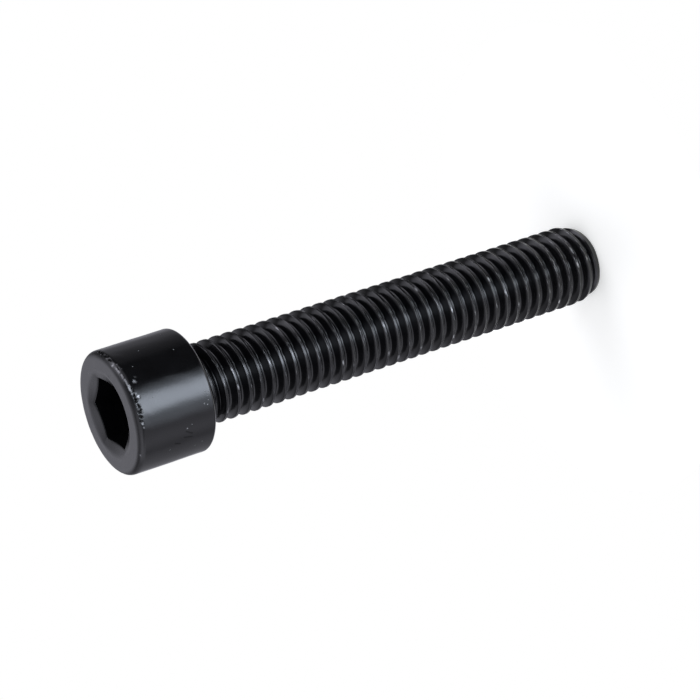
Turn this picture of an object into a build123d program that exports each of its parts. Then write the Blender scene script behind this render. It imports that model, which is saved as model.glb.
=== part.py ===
from build123d import *
from math import radians, tan
import os

# Rolled metric thread, M8 coarse, right hand, at the low end of class 6g
thread_pitch = 1.25
crest_diameter = 7.82
crest_over_pitch_line = 0.36
root_under_pitch_line = 0.335
flank_angle = 30.0

# Shank under the head, threaded over its full length
shank_length = 45.0
spare_turns = 2

# Tip, with a slow lead-in cone down to a flat end just over the root
tip_lead_length = 1.75
tip_over_root = 0.125

# Run-out of the thread and neck fillet under the head
runout_length = 1.55
neck_over_pitch_line = 0.10
neck_fillet = 0.45

# Plain cylinder head
head_diameter = 11.86
head_height = 8.0
rim_round = 0.75
bearing_round = 0.35

# Hexagon socket for a 6 mm key, with a funnelled mouth and a dished floor
key_size = 6.0
socket_depth = 4.8
floor_dish_depth = 0.7
mouth_diameter = 8.36
mouth_depth = 0.48

# Height of a crest centre over the tip, in line with one corner of the socket
crest_start = 0.65

crest_radius = crest_diameter / 2
pitch_radius = crest_radius - crest_over_pitch_line
root_radius = pitch_radius - root_under_pitch_line
neck_radius = pitch_radius + neck_over_pitch_line
tip_radius = root_radius + tip_over_root
head_radius = head_diameter / 2
mouth_radius = mouth_diameter / 2
top = shank_length + head_height

# Widths of the four helical bands in one pitch
slope = tan(radians(flank_angle))
crest_flat = thread_pitch / 2 - 2 * slope * crest_over_pitch_line
root_flat = thread_pitch / 2 - 2 * slope * root_under_pitch_line
flank_rise = slope * (crest_over_pitch_line + root_under_pitch_line)


# Heights within one turn where the bands meet
rise_foot = root_flat
rise_top = rise_foot + flank_rise
fall_top = rise_top + crest_flat
crest_middle = rise_top + crest_flat / 2


def helix(radius, height):
    return Edge.make_helix(thread_pitch, thread_pitch, radius, center=(0, 0, height))


# One turn of the thread: root, rising flank, crest and falling flank, each ruled between two helices
def one_turn(height):
    root_low = helix(root_radius, height)
    root_high = helix(root_radius, height + rise_foot)
    crest_low = helix(crest_radius, height + rise_top)
    crest_high = helix(crest_radius, height + fall_top)
    root_next = helix(root_radius, height + thread_pitch)
    return [
        Face.make_surface_from_curves(root_low, root_high),
        Face.make_surface_from_curves(root_high, crest_low),
        Face.make_surface_from_curves(crest_low, crest_high),
        Face.make_surface_from_curves(crest_high, root_next),
    ]


# End of the threaded rod: a screw surface out from the axis, and one section of the thread
def rod_end(height):
    axis = Edge.make_line((0, 0, height), (0, 0, height + thread_pitch))
    screw_surface = Face.make_surface_from_curves(axis, helix(root_radius, height))
    section = Wire.make_polygon(
        [
            (0, 0, height),
            (root_radius, 0, height),
            (root_radius, 0, height + rise_foot),
            (crest_radius, 0, height + rise_top),
            (crest_radius, 0, height + fall_top),
            (root_radius, 0, height + thread_pitch),
            (0, 0, height + thread_pitch),
        ],
        close=True,
    )
    return [screw_surface, Face(section)]


# Threaded rod, longer than the shank at both ends
turns = round(shank_length / thread_pitch) + 2 * spare_turns
rod_low = crest_start - crest_middle - spare_turns * thread_pitch
rod_faces = rod_end(rod_low) + rod_end(rod_low + turns * thread_pitch)
for turn in range(turns):
    rod_faces += one_turn(rod_low + turn * thread_pitch)
rod = Solid(Shell(rod_faces))

# Tip cone and flat end, as the space the shank may fill
clear_radius = crest_radius + neck_fillet
lead_slope = (crest_radius - tip_radius) / tip_lead_length
clear_height = (clear_radius - tip_radius) / lead_slope
shank_top = shank_length + neck_fillet
shank_space = revolve(
    Plane.XZ
    * make_face(
        Polyline(
            (0, 0),
            (tip_radius, 0),
            (clear_radius, clear_height),
            (clear_radius, shank_top),
            (0, shank_top),
            close=True,
        )
    ),
    Axis.Z,
)
shank = rod & shank_space

# Head with its run-out cone, neck fillet and rounded edges, turned in one profile
fillet_top = shank_length
runout_foot = shank_length - runout_length
runout_top = shank_length - neck_fillet
fillet_outer = neck_radius + neck_fillet
rim_inner = head_radius - rim_round
bearing_outer = head_radius - bearing_round
profile = (
    Polyline((0, runout_foot), (root_radius, runout_foot), (neck_radius, runout_top))
    + RadiusArc((neck_radius, runout_top), (fillet_outer, fillet_top), neck_fillet)
    + Line((fillet_outer, fillet_top), (bearing_outer, fillet_top))
    + RadiusArc((bearing_outer, fillet_top), (head_radius, fillet_top + bearing_round), -bearing_round)
    + Line((head_radius, fillet_top + bearing_round), (head_radius, top - rim_round))
    + RadiusArc((head_radius, top - rim_round), (rim_inner, top), -rim_round)
    + Polyline((rim_inner, top), (0, top), (0, runout_foot))
)
head = revolve(Plane.XZ * make_face(profile), Axis.Z)

# Socket: hexagonal hole, dished floor, and a mouth that narrows from a circle to the hexagon
key_circle = key_size / 2
floor_height = top - socket_depth
hexagon = RegularPolygon(key_circle, 6, major_radius=False)
socket = extrude(Plane.XY.offset(floor_height) * hexagon, socket_depth)
dish_foot = floor_height - floor_dish_depth
dish_section = Polyline((0, dish_foot), (key_circle, floor_height), (0, floor_height), close=True)
dish = revolve(Plane.XZ * make_face(dish_section), Axis.Z)
mouth_foot = top - mouth_depth
mouth_circle = Plane.XY.offset(top) * Circle(mouth_radius)
mouth_hexagon = Plane.XY.offset(mouth_foot) * hexagon
mouth = loft([mouth_hexagon, mouth_circle], ruled=True)

cap_screw = shank + head - socket - dish - mouth
cap_screw = cap_screw.solid()

os.makedirs("parts", exist_ok=True)
export_step(cap_screw, "parts/cap_screw.step")
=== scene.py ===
import math

import bmesh
import bpy
import numpy as np
from mathutils import Matrix, Vector


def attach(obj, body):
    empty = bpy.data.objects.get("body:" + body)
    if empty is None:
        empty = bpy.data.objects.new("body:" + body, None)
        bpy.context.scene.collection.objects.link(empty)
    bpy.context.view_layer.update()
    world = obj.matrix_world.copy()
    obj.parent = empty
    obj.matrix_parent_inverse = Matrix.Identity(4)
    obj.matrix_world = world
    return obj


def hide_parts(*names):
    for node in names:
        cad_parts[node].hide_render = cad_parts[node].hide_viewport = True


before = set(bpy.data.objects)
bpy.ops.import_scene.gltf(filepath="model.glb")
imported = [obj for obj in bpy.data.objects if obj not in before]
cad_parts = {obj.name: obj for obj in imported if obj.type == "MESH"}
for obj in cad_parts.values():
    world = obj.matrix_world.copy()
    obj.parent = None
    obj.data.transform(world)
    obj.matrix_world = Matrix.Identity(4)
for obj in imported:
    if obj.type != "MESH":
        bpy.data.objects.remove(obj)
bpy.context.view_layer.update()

# Lengths are in millimetres, and angles written as numbers are in degrees
MM = 0.001
TAU = 2 * math.pi
QUARTER_TURN = math.pi / 2
TINY = 1e-6

# Thread
PITCH = 1.25
CREST_R = 3.91
ROOT_R = 3.215
ROOT_U = PITCH / 2
CREST_START = 0.6456
SHANK = 45.0

# Half of the thread's profile: distance along the axis from the middle of the crest, and radius
HALF_PROFILE = [
    # Seam and lip of the rolled crest
    (0.000, 3.874),
    (0.045, 3.886),
    (0.072, 3.904),
    (0.092, 3.909),
    (0.112, 3.903),
    (0.132, 3.887),
    (0.158, 3.853),
    # Flank
    (0.210, 3.770),
    (0.330, 3.564),
    (0.460, 3.342),
    # Rounded root
    (0.520, 3.260),
    (0.570, 3.225),
]

# Wear of the crest: an uneven seam, dents in the lips, and a slow change of height
SEAM_WIDE = 0.045
SEAM_DEEP = 0.022
SEAM_FILL = 0.03
SEAM_CUT = 0.05
CREST_LIP_U = 0.09
CREST_LIP_WIDE = 0.06
DENT_DEEP = 0.014
DENT_FROM = 0.5
WAVE_MOST = 2
WORN_WIDE = 0.35
WORN_DEEP = 0.008
CREST_CLEAR = 0.002

# Lead at the tip, how far the thread sinks there, and the round of the end edge
TIP_R = 3.34
TIP_LEAD = 1.75
TIP_SINK = 0.22
TIP_EDGE = 0.05

# Run-out under the head: a cone, a finer ridge in the last groove, and the neck
RUNOUT = 0.90
RUNOUT_END = 0.10
RIDGE_HIGH = 0.36
RIDGE_WIDE = 0.10
RIDGE_FROM = 2.4
RIDGE_FULL = 1.8
NECK_R = 3.70
NECK_FILLET = 0.30
NECK_BLEND = 0.35
NECK_TOP = SHANK - NECK_FILLET

# Head
HEAD_R = 5.93
TOP = 53.0
RIM = 0.75
RIM_FOOT = TOP - RIM
BEARING_ROUND = 0.35

# Hexagon socket, with half the angle that one of its sides takes up
HALF_KEY = 3.0
HALF_SIDE = math.pi / 6
HEX_CORNER_R = 3.46
CORNER_ROUND = 0.13
SOCKET_FLOOR = 48.2
DISH = 0.7

# Mouth of the socket, with the share of its slope that is softened and the lip at its foot
MOUTH_R = 4.08
MOUTH_DEPTH = 0.36
MOUTH_SAG = 0.12
MOUTH_SOFT = 0.30
MOUTH_LIP = 0.07
MOUTH_LIP_DEEP = 0.08

# Columns of the mesh round the axis: six on the head for each one on the thread
THREAD_COLS = 72
FAN = 6
HEAD_COLS = THREAD_COLS * FAN

# Rows of the mesh
SPARE_TURNS = 2
ROUND_ROWS = 7
RIM_ROWS = 17
TIP_SHARES = (0.97, 0.6)
NECK_RING_R = 4.30
BEARING_RINGS_R = (4.60, 5.20, 5.50)
SIDE_FOOT = SHANK + 0.6
SIDE_TOP = RIM_FOOT - 0.09
LOW_SIDE_Z = np.linspace(SIDE_FOOT, 51.2, 11)
HIGH_SIDE_Z = np.linspace(51.4, SIDE_TOP, 9)
FACE_RINGS_R = (5.08, 4.9, 4.7, 4.5, 4.36)
MOUTH_SHARES = (-0.30, -0.15, 0.0, 0.15, 0.30, 0.55, 0.8, 1.0)
MOUTH_LIP_SHARES = (0.3, 0.6, 0.85)
WALL_Z = (51.9, 51.0, 49.8, 48.6, 48.27)
FLOOR_SHARES = (0.977, 0.8, 0.5, 0.2)


# Smooth step from 0 at a to 1 at b
def smooth(a, b, x):
    t = np.clip((x - a) / (b - a), 0, 1)
    return t * t * (3 - 2 * t)


# Smooth random field: a sum of waves with random directions and lengths, about -1 to 1
class Waves:
    def __init__(self, seed, length, count=14, shortest=0.6, longest=1.5):
        rng = np.random.default_rng(seed)
        ways = rng.normal(size=(count, 3))
        ways /= np.linalg.norm(ways, axis=1)[:, None]
        self.waves = ways * (TAU / length) * rng.uniform(shortest, longest, count)[:, None]
        self.phases = rng.uniform(0, TAU, count)
        self.scale = math.sqrt(count / 2)

    def __call__(self, places):
        return np.sin(places @ self.waves.T + self.phases).sum(1) / self.scale


# Whole profile of one pitch, from the middle of a crest, open for the mesh and closed for the radius
half_u = [u for u, r in HALF_PROFILE]
half_r = [r for u, r in HALF_PROFILE]
profile_u = np.array(half_u + [ROOT_U] + [PITCH - u for u in half_u[:0:-1]])
profile_r = np.array(half_r + [ROOT_R] + half_r[:0:-1])
closed_u = np.append(profile_u, PITCH)
closed_r = np.append(profile_r, profile_r[0])
PROFILE_ROWS = len(profile_u)

seam_wave = Waves(seed=11, length=3.4)
lip_wave = Waves(seed=12, length=2.4)
slow_wave = Waves(seed=13, length=9.0)


def thread_radius(phi, z):
    u = np.mod(z - CREST_START - PITCH * phi / TAU, PITCH)
    r = np.interp(u, closed_u, closed_r)
    away = np.minimum(u, PITCH - u)
    places = np.stack([CREST_R * np.cos(phi), CREST_R * np.sin(phi), z], 1)
    # The seam fills up in places, and the lips are dented here and there
    seam = np.exp(-((away / SEAM_WIDE) ** 2)) * SEAM_DEEP * seam_wave(places)
    dents = np.clip(lip_wave(places) - DENT_FROM, 0, WAVE_MOST)
    dent = np.exp(-(((away - CREST_LIP_U) / CREST_LIP_WIDE) ** 2)) * DENT_DEEP * dents
    worn = smooth(WORN_WIDE, 0.0, away) * WORN_DEEP * np.clip(1 + slow_wave(places), 0, WAVE_MOST)
    r = np.minimum(r - np.clip(seam, -SEAM_FILL, SEAM_CUT), CREST_R - CREST_CLEAR) - dent - worn
    # The thread ends close under the head, with the finer ridge in its last groove
    ridge = RIDGE_HIGH * np.exp(-(((u - ROOT_U) / RIDGE_WIDE) ** 2))
    ridge = ridge * smooth(SHANK - RIDGE_FROM, SHANK - RIDGE_FULL, z)
    r = np.maximum(r, ROOT_R + ridge)
    cone = ROOT_R + (NECK_R - ROOT_R) * smooth(SHANK - RUNOUT, NECK_TOP - RUNOUT_END, z)
    r = np.maximum(r, cone)
    r = r + (NECK_R - r) * smooth(NECK_TOP - NECK_BLEND, NECK_TOP, z)
    # At the tip the thread isn't full, and the end edge is slightly broken
    r = r - TIP_SINK * np.clip(1 - z / TIP_LEAD, 0, 1)
    r = np.minimum(r, TIP_R + (CREST_R - TIP_R) * z / TIP_LEAD)
    inside = np.clip(TIP_EDGE - z, 0, TIP_EDGE)
    return r - (TIP_EDGE - np.sqrt(TIP_EDGE**2 - inside**2))


# Parts of the skin, as they are made
points = []
quads = []
triangles = []


# Add points to the skin, and give the number of the first one
def add(places):
    start = sum(len(part) for part in points)
    points.append(places)
    return start


# Points round the axis, where the radius and the height may be one value for each point
def ring(radius, height, cols):
    t = np.arange(cols) * TAU / cols
    return np.stack([radius * np.cos(t), radius * np.sin(t), height + 0 * t], 1)


def join(low, high, cols):
    i = np.arange(cols)
    n = (i + 1) % cols
    quads.append(np.stack([low + i, low + n, high + n, high + i], 1))


def close(edge, hub, cols):
    i = np.arange(cols)
    triangles.append(np.stack([edge + i, edge + (i + 1) % cols, np.full(cols, hub)], 1))


# Threaded shank, woven so that its rows follow the helix; the last column meets the first one turn on
phi = np.arange(THREAD_COLS) * TAU / THREAD_COLS
turns = round(SHANK / PITCH) + 2 * SPARE_TURNS
along = np.concatenate([profile_u + PITCH * (turn - SPARE_TURNS) for turn in range(turns)])
column_rows = len(along)
grid_phi, grid_u = np.meshgrid(phi, along, indexing="ij")
grid_z = np.clip(CREST_START + PITCH * grid_phi / TAU + grid_u, 0.0, NECK_TOP)
grid_r = thread_radius(grid_phi.ravel(), grid_z.ravel()).reshape(grid_z.shape)
grid = np.stack([grid_r * np.cos(grid_phi), grid_r * np.sin(grid_phi), grid_z], 2)
shank = add(grid.reshape(-1, 3))
for j in range(THREAD_COLS):
    lift = PROFILE_ROWS if j + 1 == THREAD_COLS else 0
    steps = np.arange(column_rows - 1 - lift)
    here = shank + j * column_rows + steps
    there = shank + (j + 1) % THREAD_COLS * column_rows + steps + lift
    quads.append(np.stack([here, there, there + 1, here + 1], 1))

# Flat end of the tip
tip_r = thread_radius(phi, 0 * phi)
edge = add(ring(tip_r, 0.0, THREAD_COLS))
for share in TIP_SHARES:
    inner = add(ring(tip_r * share, 0.0, THREAD_COLS))
    join(inner, edge, THREAD_COLS)
    edge = inner
close(edge, add(np.zeros((1, 3))), THREAD_COLS)

# Neck fillet and the inner part of the bearing face keep the thread's columns
neck = []
for t in np.linspace(0, QUARTER_TURN, ROUND_ROWS):
    fillet_r = NECK_R + NECK_FILLET * (1 - math.cos(t))
    neck.append(add(ring(fillet_r, SHANK - NECK_FILLET * (1 - math.sin(t)), THREAD_COLS)))
neck.append(add(ring(NECK_RING_R, SHANK, THREAD_COLS)))
for low, high in zip(neck, neck[1:]):
    join(low, high, THREAD_COLS)

# Head: rows over the bearing face, its rounded edge, the side, the rim and the top face
rows = [(r, SHANK) for r in BEARING_RINGS_R]
for t in np.linspace(0, QUARTER_TURN, ROUND_ROWS):
    rows.append((HEAD_R - BEARING_ROUND * (1 - math.sin(t)), SHANK + BEARING_ROUND * (1 - math.cos(t))))
rows += [(HEAD_R, z) for z in (*LOW_SIDE_Z, *HIGH_SIDE_Z)]
for t in np.linspace(0, QUARTER_TURN, RIM_ROWS):
    rows.append((HEAD_R - RIM * (1 - math.cos(t)), TOP - RIM * (1 - math.sin(t))))
rows += [(r, TOP) for r in FACE_RINGS_R]
head = [add(ring(r, z, HEAD_COLS)) for r, z in rows]
for low, high in zip(head, head[1:]):
    join(low, high, HEAD_COLS)

# One column of the neck meets a fan of the head's columns
for j in range(THREAD_COLS):
    here = neck[-1] + j
    there = neck[-1] + (j + 1) % THREAD_COLS
    outer = [head[0] + (j * FAN + s) % HEAD_COLS for s in range(FAN + 1)]
    fan = [(here if s < FAN // 2 else there, outer[s + 1], outer[s]) for s in range(FAN)]
    fan.append((here, there, outer[FAN // 2]))
    triangles.append(np.array(fan))

# Socket: a hexagon with slightly rounded corners, a corner on +X
theta = np.arange(HEAD_COLS) * TAU / HEAD_COLS
from_corner = np.abs(np.mod(theta + HALF_SIDE, 2 * HALF_SIDE) - HALF_SIDE)
hex_r = HALF_KEY / np.cos(HALF_SIDE - from_corner)
round_middle = (HALF_KEY - CORNER_ROUND) / math.cos(HALF_SIDE)
round_end = math.atan2(CORNER_ROUND * math.sin(HALF_SIDE), round_middle + CORNER_ROUND * math.cos(HALF_SIDE))
round_reach = np.sqrt(np.clip(CORNER_ROUND**2 - (round_middle * np.sin(from_corner)) ** 2, 0, None))
hex_r = np.where(from_corner < round_end, round_middle * np.cos(from_corner) + round_reach, hex_r)

# Mouth drawn down from a circle to the hexagon, with a soft upper edge and a small rounded lip
sag = MOUTH_SAG * np.clip((HEX_CORNER_R - hex_r) / (HEX_CORNER_R - HALF_KEY), 0, 1)
edge_z = TOP - MOUTH_DEPTH - sag
lip_r = hex_r + MOUTH_LIP
lip_z = TOP + (edge_z - TOP) * (MOUTH_R - lip_r) / (MOUTH_R - hex_r)
wall = []
for share in MOUTH_SHARES:
    drop = (share + MOUTH_SOFT) ** 2 / (4 * MOUTH_SOFT) if share < MOUTH_SOFT else share
    wall.append((MOUTH_R + (lip_r - MOUTH_R) * share, TOP + (lip_z - TOP) * drop))
for share in MOUTH_LIP_SHARES:
    drop = (lip_z - edge_z) * (1 - (1 - share) ** 2) + MOUTH_LIP_DEEP * share**2
    wall.append((hex_r + MOUTH_LIP * (1 - share) ** 2, lip_z - drop))

# Walls and dished floor of the socket
wall.append((hex_r, edge_z - MOUTH_LIP_DEEP))
wall += [(hex_r, z) for z in WALL_Z]
for share in FLOOR_SHARES:
    wall.append((hex_r * share, SOCKET_FLOOR + DISH * np.minimum(0, hex_r * share / HALF_KEY - 1)))
edge = head[-1]
for r, z in wall:
    inner = add(ring(r, z, HEAD_COLS))
    join(edge, inner, HEAD_COLS)
    edge = inner
close(edge, add(np.array([[0.0, 0.0, SOCKET_FLOOR - DISH]])), HEAD_COLS)

# Where each point of the skin lies: outward from the axis, round it, and up over the rim
skin = np.concatenate(points)
radius = np.hypot(skin[:, 0], skin[:, 1])
outward = skin[:, :2] / np.maximum(radius, TINY)[:, None]
angle = np.degrees(np.arctan2(skin[:, 1], skin[:, 0]))
lean = np.arctan2(skin[:, 2] - RIM_FOOT, radius - (HEAD_R - RIM))
lean = np.clip(lean, -2 * HALF_SIDE, QUARTER_TURN)
girth = np.where(skin[:, 2] < RIM_FOOT, skin[:, 2] - RIM_FOOT, RIM * lean)

# Chips on the rim: angle round the head, distance up over the rim from its foot, length, height, how bare
CHIPS = [
    (-50.6, 0.56, 0.24, 0.16, 0.75), (-58.0, 0.47, 0.60, 0.08, 0.50), (-66.0, 0.41, 0.60, 0.08, 0.50),
    (-73.5, 0.35, 0.55, 0.08, 0.65), (-79.8, 0.29, 0.48, 0.11, 0.90), (-84.4, 0.31, 0.20, 0.08, 0.75),
    (-88.9, -0.17, 0.20, 0.15, 1.00), (-86.5, -0.05, 0.10, 0.10, 0.50), (-75.1, -0.37, 0.22, 0.20, 0.50),
    (-71.0, -0.62, 0.18, 0.14, 0.15), (-112.3, 0.17, 0.15, 0.15, 0.60), (-116.0, 0.10, 0.09, 0.09, 0.40),
    (-145.2, 0.55, 0.12, 0.12, 0.40), (-19.9, 0.44, 0.12, 0.09, 0.75), (-27.1, 0.52, 0.10, 0.07, 0.50),
    (-38.7, 0.52, 0.10, 0.07, 0.50), (-52.6, 0.22, 0.10, 0.09, 0.35), (-59.0, 0.07, 0.10, 0.08, 0.30),
    (38.0, 0.45, 0.15, 0.11, 0.60), (71.0, 0.30, 0.25, 0.12, 0.60), (113.0, 0.20, 0.12, 0.10, 0.50),
    (158.0, 0.42, 0.18, 0.12, 0.60),
]

# Pits on the rim, in the same columns, with how black they are at the end
PITS = [
    (-22.0, 0.36, 0.36, 0.14, 1.0), (-28.0, 0.37, 0.36, 0.13, 1.0), (-35.0, 0.38, 0.40, 0.13, 0.9),
    (-42.5, 0.38, 0.38, 0.12, 0.9), (-57.0, 0.28, 0.36, 0.10, 0.8), (-80.5, 0.15, 0.26, 0.11, 0.9),
    (-86.5, 0.17, 0.26, 0.15, 1.0), (-91.0, 0.15, 0.24, 0.17, 1.0), (-96.3, 0.11, 0.24, 0.17, 1.0),
    (-102.0, 0.12, 0.28, 0.18, 1.0), (-106.5, 0.16, 0.20, 0.13, 1.0), (-110.0, 0.26, 0.18, 0.11, 1.0),
    (77.0, 0.22, 0.25, 0.11, 0.9), (152.0, 0.35, 0.25, 0.10, 0.8),
]

# Reach of chips and pits below and within the rim, how uneven they are, and their depth and shine
SPOT_BELOW = 0.9
SPOT_WITHIN = 0.4
SPOT_UNEVEN = 0.35
FINE_SHARE = 0.55
HOLLOW_SHARES = (1.15, 0.4)
MARK_SHARES = (1.0, 0.5)
CHIP_DEEP_SHARE = 0.22
PIT_DEEP_SHARE = 0.25
CHIP_SHINE = 0.8
on_rim = np.nonzero((skin[:, 2] > RIM_FOOT - SPOT_BELOW) & (radius > HEAD_R - RIM - SPOT_WITHIN))[0]
fine_wave = Waves(seed=21, length=0.24)
coarse_wave = Waves(seed=22, length=0.45)
uneven = FINE_SHARE * fine_wave(skin[on_rim]) + (1 - FINE_SHARE) * coarse_wave(skin[on_rim])
depth = np.zeros(len(skin))
bare = np.zeros(len(skin))
pit = np.zeros(len(skin))


# Distance of the rim's points from a spot, as a share of the spot's size
def spot_far(around, up, long, high):
    across = np.radians(np.mod(angle[on_rim] - around + 180, 360) - 180) * HEAD_R
    return np.hypot(across / long, (girth[on_rim] - up) / high) + SPOT_UNEVEN * uneven


def raise_to(marks, values):
    marks[on_rim] = np.maximum(marks[on_rim], values)


for around, up, long, high, shine in CHIPS:
    far = spot_far(around, up, long, high)
    raise_to(depth, smooth(*HOLLOW_SHARES, far) * high * CHIP_DEEP_SHARE)
    raise_to(bare, smooth(*MARK_SHARES, far) * shine * CHIP_SHINE)
for around, up, long, high, black in PITS:
    far = spot_far(around, up, long, high)
    raise_to(depth, smooth(*HOLLOW_SHARES, far) * high * (CHIP_DEEP_SHARE + PIT_DEEP_SHARE * black))
    raise_to(pit, smooth(*MARK_SHARES, far) * black)
tilt = np.clip(lean, 0, QUARTER_TURN)
skin[:, :2] -= (depth * np.cos(tilt))[:, None] * outward
skin[:, 2] -= depth * np.sin(tilt)

# Small bright nicks in the crests, some larger ones across them, and more near the tip, by random draw. The
# extra ones near the tip are partly wear and partly painted highlight: they brighten the crests there, where
# the floor blocks the crests' shine
NICK_SEED = 7
NICK_R = 3.871
NICK_MARGIN = 1.5
SMALL_NICKS = 420
SMALL_BARE = (0.15, 0.6)
LARGE_NICKS = 75
LARGE_BARE = (0.25, 1.0)
LARGE_START = (-6, 1)
LARGE_ROWS = (3, 7)
# Extra nicks near the tip: partly wear, partly painted highlight on the crests
TIP_HIGHLIGHT_NICKS = 160
TIP_HIGHLIGHT_BARE = (0.2, 0.7)
TIP_HIGHLIGHT_TOP = 7.0
rng = np.random.default_rng(NICK_SEED)
full_thread = (skin[:, 2] > NICK_MARGIN) & (skin[:, 2] < SHANK - NICK_MARGIN)
lips = np.nonzero((radius > NICK_R) & full_thread)[0]
bare[rng.choice(lips, SMALL_NICKS, replace=False)] = rng.uniform(*SMALL_BARE, SMALL_NICKS)
crests = np.arange(shank, shank + THREAD_COLS * column_rows)
crests = crests[((crests - shank) % column_rows % PROFILE_ROWS == 0) & full_thread[crests]]
for crest in rng.choice(crests, LARGE_NICKS, replace=False):
    start = crest + rng.integers(*LARGE_START)
    bare[start : start + rng.integers(*LARGE_ROWS)] = rng.uniform(*LARGE_BARE)
tip_highlight_lips = lips[skin[lips, 2] < TIP_HIGHLIGHT_TOP]
bare[rng.choice(tip_highlight_lips, TIP_HIGHLIGHT_NICKS, replace=False)] = rng.uniform(*TIP_HIGHLIGHT_BARE, TIP_HIGHLIGHT_NICKS)

# The forged head isn't perfectly even, and lies within the solid's head
FORGED_BROAD = 0.006
FORGED_FINE = 0.0025
FORGED_SHIFT = 1.2
FORGED_MOST = 0.03
FORGED_R = 4.35
FORGED_FROM = 0.2
FORGED_FULL = 0.7
broad_wave = Waves(seed=31, length=5.5)
short_wave = Waves(seed=32, length=1.4)
sink = FORGED_BROAD * (broad_wave(skin) - FORGED_SHIFT) + FORGED_FINE * (short_wave(skin) - FORGED_SHIFT)
sink = np.clip(sink, -FORGED_MOST, 0) * (radius > FORGED_R)
sink = sink * smooth(SHANK + FORGED_FROM, SHANK + FORGED_FULL, skin[:, 2])
level = np.clip(1 - tilt / QUARTER_TURN, 0, 1)
skin[:, :2] += (sink * level)[:, None] * outward
skin[:, 2] += sink * (1 - level)

# Mesh of the bolt, with its marks, its seams welded
WELD = 0.0002
SLIVER = 0.0001
SHARP_ANGLE = 40
mesh = bpy.data.meshes.new("bolt_skin")
faces = np.concatenate(quads).tolist() + np.concatenate(triangles).tolist()
mesh.from_pydata((skin * MM).tolist(), [], faces)
for name, values in (("bare", bare), ("pit", pit)):
    layer = mesh.attributes.new(name, "FLOAT", "POINT")
    layer.data.foreach_set("value", values.astype(np.float32))
bm = bmesh.new()
bm.from_mesh(mesh)
bmesh.ops.remove_doubles(bm, verts=bm.verts, dist=WELD * MM)
bmesh.ops.dissolve_degenerate(bm, edges=bm.edges, dist=SLIVER * MM)
bmesh.ops.recalc_face_normals(bm, faces=bm.faces)
open_edges = sum(1 for e in bm.edges if len(e.link_faces) != 2)
print("bolt skin: triangles", sum(len(f.verts) - 2 for f in bm.faces), "open edges", open_edges)
bm.to_mesh(mesh)
bm.free()
mesh.polygons.foreach_set("use_smooth", np.ones(len(mesh.polygons), dtype=bool))
mesh.set_sharp_from_angle(angle=math.radians(SHARP_ANGLE))
mesh.update()

scene = bpy.context.scene
bolt = bpy.data.objects.new("bolt_skin", mesh)
scene.collection.objects.link(bolt)
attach(bolt, "root")
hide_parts("cap_screw")


# Shader nodes of a material or world, emptied and made anew
class Nodes:
    def __init__(self, owner):
        owner.use_nodes = True
        self.tree = owner.node_tree
        self.tree.nodes.clear()

    def new(self, kind, inputs=(), **settings):
        node = self.tree.nodes.new(kind)
        for key, value in settings.items():
            setattr(node, key, value)
        for socket, source in inputs:
            if isinstance(source, bpy.types.NodeSocket):
                self.tree.links.new(source, node.inputs[socket])
            else:
                node.inputs[socket].default_value = source
        return node

    def noise(self, place, scale, detail, rough=0.55):
        inputs = [("Vector", place), ("Scale", scale), ("Detail", detail), ("Roughness", rough)]
        return self.new("ShaderNodeTexNoise", inputs).outputs["Fac"]

    def spread(self, value, a, b, c, d, kind="LINEAR"):
        inputs = [("Value", value), ("From Min", a), ("From Max", b), ("To Min", c), ("To Max", d)]
        return self.new("ShaderNodeMapRange", inputs, interpolation_type=kind).outputs["Result"]

    def calc(self, kind, a, b):
        return self.new("ShaderNodeMath", [(0, a), (1, b)], operation=kind).outputs[0]

    def vector_calc(self, kind, a, b):
        return self.new("ShaderNodeVectorMath", [(0, a), (1, b)], operation=kind).outputs["Value"]

    def ramp(self, value, ends, tones):
        node = self.new("ShaderNodeValToRGB", [("Fac", value)])
        for stop, at, tone in zip(node.color_ramp.elements, ends, tones):
            stop.position = at
            stop.color = (*tone, 1)
        return node.outputs["Color"]

    def shader(self, kind, *inputs):
        return self.new(kind, inputs).outputs[0]

    def mix(self, share, under, over):
        return self.shader("ShaderNodeMixShader", (0, share), (1, under), (2, over))

    def mark(self, name):
        return self.new("ShaderNodeAttribute", attribute_name=name).outputs["Fac"]


# Specks of dust on the side of the head: angle round it, height over the tip, and radius
DUST = [
    (-44.2, 49.77, 0.07), (-56.4, 46.87, 0.08), (-60.5, 51.29, 0.07), (-93.5, 50.85, 0.08),
    (-104.4, 45.48, 0.13), (-102.6, 45.75, 0.09), (-106.8, 45.62, 0.08), (-112.6, 46.10, 0.11),
    (-114.2, 45.80, 0.09), (-110.4, 45.66, 0.07), (-130.5, 48.09, 0.10), (22.0, 48.60, 0.08),
    (95.0, 50.10, 0.08), (-21.0, 48.30, 0.07), (-23.5, 47.85, 0.08), (-19.5, 49.20, 0.06),
    (-28.0, 46.60, 0.06), (-128.0, 47.60, 0.07), (-152.0, 46.40, 0.08), (-155.0, 47.10, 0.07),
    (-149.0, 49.80, 0.06),
]

# Short dark scratches there, from the angle and height of one end to those of the other
SCRATCHES = [(-133.3, 48.2, -137.0, 47.6), (-139.0, 48.4, -140.9, 47.6), (-142.9, 49.3, -144.9, 48.8)]
SCRATCH_STEPS = 7
SCRATCH_R = 0.12
SCRATCH_SHADE = 0.45
SPOT_CORE_SHARE = 0.4


# A scratch is a row of spots
def scratch_spots():
    spots = []
    for from_angle, from_z, to_angle, to_z in SCRATCHES:
        for share in np.linspace(0, 1, SCRATCH_STEPS):
            spot_angle = from_angle + (to_angle - from_angle) * share
            spots.append((spot_angle, from_z + (to_z - from_z) * share, SCRATCH_R))
    return spots


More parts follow.
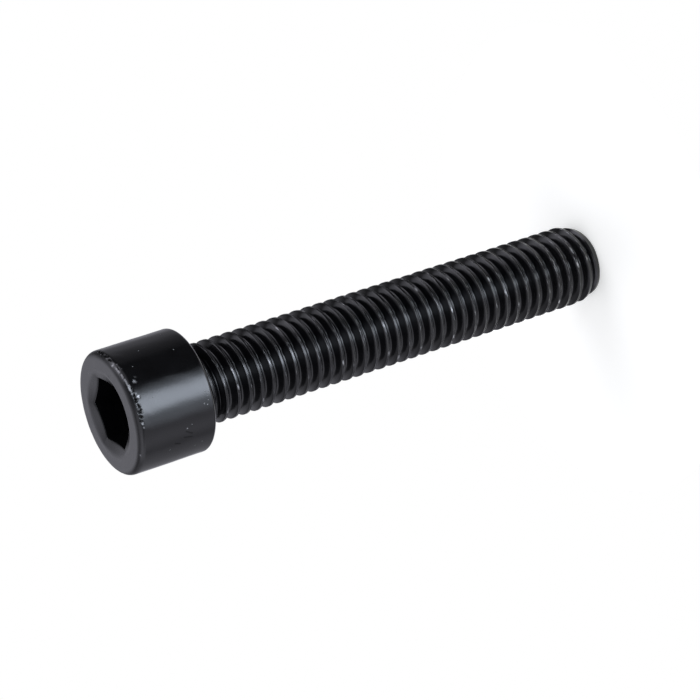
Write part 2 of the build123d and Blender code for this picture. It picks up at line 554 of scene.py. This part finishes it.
# Mask of small soft spots on the side of the head
def spot_mask(nodes, place, spots):
    mask = 0.0
    for around, z, size in spots:
        a = math.radians(around)
        middle = Vector((HEAD_R * math.cos(a), HEAD_R * math.sin(a), z)) * MM
        far = nodes.vector_calc("DISTANCE", place, middle)
        near = nodes.spread(far, SPOT_CORE_SHARE * size * MM, size * MM, 1.0, 0.0, "SMOOTHSTEP")
        mask = nodes.calc("MAXIMUM", mask, near)
    return mask


# Noise of each tone and of the shine: scale in waves a metre, detail, and its own roughness where given
OXIDE_NOISE = (420, 5)
METAL_NOISE = (3000, 4)
PIT_NOISE = (6000, 3)
DUST_NOISE = (9000, 3)
SATIN_NOISE = (700, 6, 0.65)
GRAIN_NOISE = (5200, 4, 0.6)

# Tones are from dark to light, and the top of the head is more matt than its side
TONE_ENDS = (0.3, 0.7)
OXIDE_TONES = ((0.0010, 0.0010, 0.0013), (0.0026, 0.0026, 0.0031))
METAL_TONES = ((0.30, 0.30, 0.31), (0.66, 0.66, 0.66))
PIT_TONES = ((0.0015, 0.0015, 0.0015), (0.006, 0.006, 0.006))
DUST_TONES = ((0.09, 0.09, 0.09), (0.22, 0.22, 0.22))
OXIDE_ROUGH = (0.12, 0.18)
OXIDE_IOR = 1.5
MATT_ROUGH = 0.14
MATT_FROM = 0.75
MATT_FULL = 0.15
METAL_ROUGH = 0.55
GRAIN_STRENGTH = 0.10
GRAIN_DEEP = 0.04


# Blackened steel: a thin dark oxide with a satin shine, bare metal in the chips, pits, scratches and dust
def blackened_steel():
    steel = bpy.data.materials.new("blackened_steel")
    nodes = Nodes(steel)
    place = nodes.new("ShaderNodeTexCoord").outputs["Object"]
    z = nodes.new("ShaderNodeSeparateXYZ", [(0, place)]).outputs["Z"]

    def mottled(tones, noise):
        return nodes.ramp(nodes.noise(place, *noise), TONE_ENDS, tones)

    matt_top = nodes.spread(z, (TOP - MATT_FROM) * MM, (TOP - MATT_FULL) * MM, 0.0, MATT_ROUGH)
    satin = nodes.spread(nodes.noise(place, *SATIN_NOISE), *TONE_ENDS, *OXIDE_ROUGH)
    bumps = [("Strength", GRAIN_STRENGTH), ("Distance", GRAIN_DEEP * MM)]
    grain = nodes.new("ShaderNodeBump", [*bumps, ("Height", nodes.noise(place, *GRAIN_NOISE))])
    oxide = nodes.shader(
        "ShaderNodeBsdfPrincipled",
        ("Base Color", mottled(OXIDE_TONES, OXIDE_NOISE)),
        ("Roughness", nodes.calc("ADD", satin, matt_top)),
        ("IOR", OXIDE_IOR),
        ("Normal", grain.outputs["Normal"]),
    )
    metal = nodes.shader(
        "ShaderNodeBsdfPrincipled",
        ("Base Color", mottled(METAL_TONES, METAL_NOISE)),
        ("Metallic", 1.0),
        ("Roughness", METAL_ROUGH),
    )
    black = nodes.shader("ShaderNodeBsdfDiffuse", ("Color", mottled(PIT_TONES, PIT_NOISE)))
    dust = nodes.shader("ShaderNodeBsdfDiffuse", ("Color", mottled(DUST_TONES, DUST_NOISE)))
    scratched = nodes.calc("MULTIPLY", spot_mask(nodes, place, scratch_spots()), SCRATCH_SHADE)
    surface = nodes.mix(nodes.mark("bare"), oxide, metal)
    surface = nodes.mix(nodes.mark("pit"), surface, black)
    surface = nodes.mix(scratched, surface, black)
    surface = nodes.mix(spot_mask(nodes, place, DUST), surface, dust)
    nodes.new("ShaderNodeOutputMaterial", [("Surface", surface)])
    return steel


mesh.materials.append(blackened_steel())

WHITE = (1, 1, 1, 1)

# Floor
FLOOR_R = 24.0
FLOOR_SIDES = 96
FLOOR_DROP = 0.02
FLOOR_COLOUR = (0.87, 0.87, 0.79, 1)
FLOOR_GLOW = 0.36


# Floor material: about white to the camera and in the bolt's shine, and shaded by the bolt
def pale_floor():
    pale = bpy.data.materials.new("pale_floor")
    nodes = Nodes(pale)
    path = nodes.new("ShaderNodeLightPath").outputs
    seen = nodes.calc("ADD", path["Is Camera Ray"], path["Is Glossy Ray"])
    strength = nodes.calc("MULTIPLY", seen, FLOOR_GLOW)
    matt = nodes.shader("ShaderNodeBsdfDiffuse", ("Color", FLOOR_COLOUR))
    glow = nodes.shader("ShaderNodeEmission", ("Color", WHITE), ("Strength", strength))
    surface = nodes.shader("ShaderNodeAddShader", (0, matt), (1, glow))
    nodes.new("ShaderNodeOutputMaterial", [("Surface", surface)])
    return pale


# The floor is a small pale disc just under the tip
disc = ring(FLOOR_R, -FLOOR_DROP, FLOOR_SIDES) * MM
floor_mesh = bpy.data.meshes.new("floor")
floor_mesh.from_pydata(disc.tolist(), [], [list(range(FLOOR_SIDES))])
floor = bpy.data.objects.new("floor", floor_mesh)
scene.collection.objects.link(floor)
floor_mesh.materials.append(pale_floor())

# Directions are given as an angle round the bolt from the side the camera looks at, and a height angle
CAMERA_SIDE = math.radians(-95.37)
FRONT = Vector((math.cos(CAMERA_SIDE), math.sin(CAMERA_SIDE), 0.0))
SIDE = Vector((-math.sin(CAMERA_SIDE), math.cos(CAMERA_SIDE), 0.0))


def heading(around, height):
    a = math.radians(around)
    h = math.radians(height)
    return (FRONT * math.cos(a) + SIDE * math.sin(a)) * math.cos(h) + Vector((0, 0, math.sin(h)))


# Share of the white background in the bolt's shine
WHITE_SHINE = 0.05

# Pale areas of the room: direction, angle from its middle where it starts to fade and where it ends, strength
FRONT_TINT = (0.89, 0.98, 1.13, 1)
FRONT_AREAS = [
    (-3, -27, 2, 20, 4.00),
    (1, -27, 14, 29, 1.90),
    (-15, -27, 3, 34, 1.70),
]
ROOM_TINT = (0.96, 0.96, 1.08, 1)
ROOM_AREAS = [
    (0, -60, 5, 38, 1.00),
    (90, 36, 4, 30, 2.40),
    (60, 15, 5, 36, 0.65),
    (0, 50, 5, 40, 0.10),
    (-40, 40, 5, 36, 0.90),
    (-88, 38, 5, 32, 0.65),
    (-85, 14, 5, 36, 0.60),
    (-60, 10, 5, 36, 0.30),
    (-110, 5, 5, 38, 0.35),
    (-150, 20, 5, 38, 0.10),
    (-160, 52, 5, 36, 0.40),
    (180, 27, 5, 38, 0.70),
    (180, 60, 5, 38, 0.60),
    (0, 90, 5, 42, 0.40),
    (129, 47, 2, 14, 0.90),
    (150, 13, 5, 34, 0.10),
    (115, -27, 5, 34, 0.15),
    (140, -27, 5, 34, 0.15),
    (172, -27, 5, 34, 0.30),
    (-150, -27, 5, 36, 0.25),
    (-120, -27, 5, 36, 0.15),
    (-90, -27, 5, 36, 0.20),
    (-60, -27, 5, 34, 0.60),
    (180, -65, 5, 42, 0.90),
]


# World: white to the camera, and faintly so in the bolt's shine; else a dim room with a few broad pale areas
def studio_world():
    world = bpy.data.worlds.new("studio")
    nodes = Nodes(world)
    look = nodes.new("ShaderNodeTexCoord").outputs["Generated"]

    def lit_room(areas, tint):
        light = 0.0
        for around, height, inner, outer, strength in areas:
            toward = nodes.vector_calc("DOT_PRODUCT", look, heading(around, height))
            ends = math.cos(math.radians(outer)), math.cos(math.radians(inner))
            light = nodes.calc("ADD", light, nodes.spread(toward, *ends, 0.0, strength, "SMOOTHSTEP"))
        return nodes.shader("ShaderNodeBackground", ("Color", tint), ("Strength", light))

    front = lit_room(FRONT_AREAS, FRONT_TINT)
    room = nodes.shader("ShaderNodeAddShader", (0, front), (1, lit_room(ROOM_AREAS, ROOM_TINT)))
    white = nodes.shader("ShaderNodeBackground", ("Color", WHITE), ("Strength", 1.0))
    path = nodes.new("ShaderNodeLightPath").outputs
    shine = nodes.calc("MULTIPLY", path["Is Glossy Ray"], WHITE_SHINE)
    white_share = nodes.calc("ADD", path["Is Camera Ray"], shine)
    nodes.new("ShaderNodeOutputWorld", [("Surface", nodes.mix(white_share, room, white))])
    return world


scene.world = studio_world()

# Soft boxes: direction, width, height and power
BOX_AIM = Vector((0, 0, 35.0)) * MM
BOX_FAR = 400.0
BOX_TINT = (0.90, 0.99, 1.11)
BOXES = [
    ("low_box", -6, 9, 110, 110, 0.26),
    ("rim_box", 28, 18, 90, 90, 0.14),
    ("high_box", -6, 28, 150, 150, 0.07),
]
for name, around, height, wide, tall, power in BOXES:
    lamp = bpy.data.lights.new(name, "AREA")
    lamp.shape = "RECTANGLE"
    lamp.size = wide * MM
    lamp.size_y = tall * MM
    lamp.energy = power
    lamp.color = BOX_TINT
    box = bpy.data.objects.new(name, lamp)
    box.location = BOX_AIM + heading(around, height) * BOX_FAR * MM
    box.rotation_euler = (BOX_AIM - box.location).to_track_quat("-Z", "Y").to_euler()
    box.visible_camera = False
    scene.collection.objects.link(box)

# Camera, rolled as the photograph shows the bolt
CAMERA_HEIGHT = 27.308
CAMERA_ROLL = -108.194
CAMERA_FAR = 261.17
CAMERA_AIM = Vector((-1.335, 0.0, 27.545)) * MM
LENS = 141.807
SENSOR = 36
HALF_PIXEL = 0.5 / 700
NEAREST = 10.0
FARTHEST = 20000.0
camera_data = bpy.data.cameras.new("camera")
camera_data.sensor_width = SENSOR
camera_data.lens = LENS
camera_data.shift_x = -HALF_PIXEL
camera_data.shift_y = HALF_PIXEL
camera_data.clip_start = NEAREST * MM
camera_data.clip_end = FARTHEST * MM
camera = bpy.data.objects.new("camera", camera_data)
scene.collection.objects.link(camera)
backward = heading(0, CAMERA_HEIGHT)
upright = Matrix((SIDE, backward.cross(SIDE), backward)).transposed()
rolled = upright @ Matrix.Rotation(math.radians(CAMERA_ROLL), 3, "Z")
camera.matrix_world = Matrix.Translation(CAMERA_AIM + backward * CAMERA_FAR * MM) @ rolled.to_4x4()
scene.camera = camera
scene.view_settings.view_transform = "Standard"
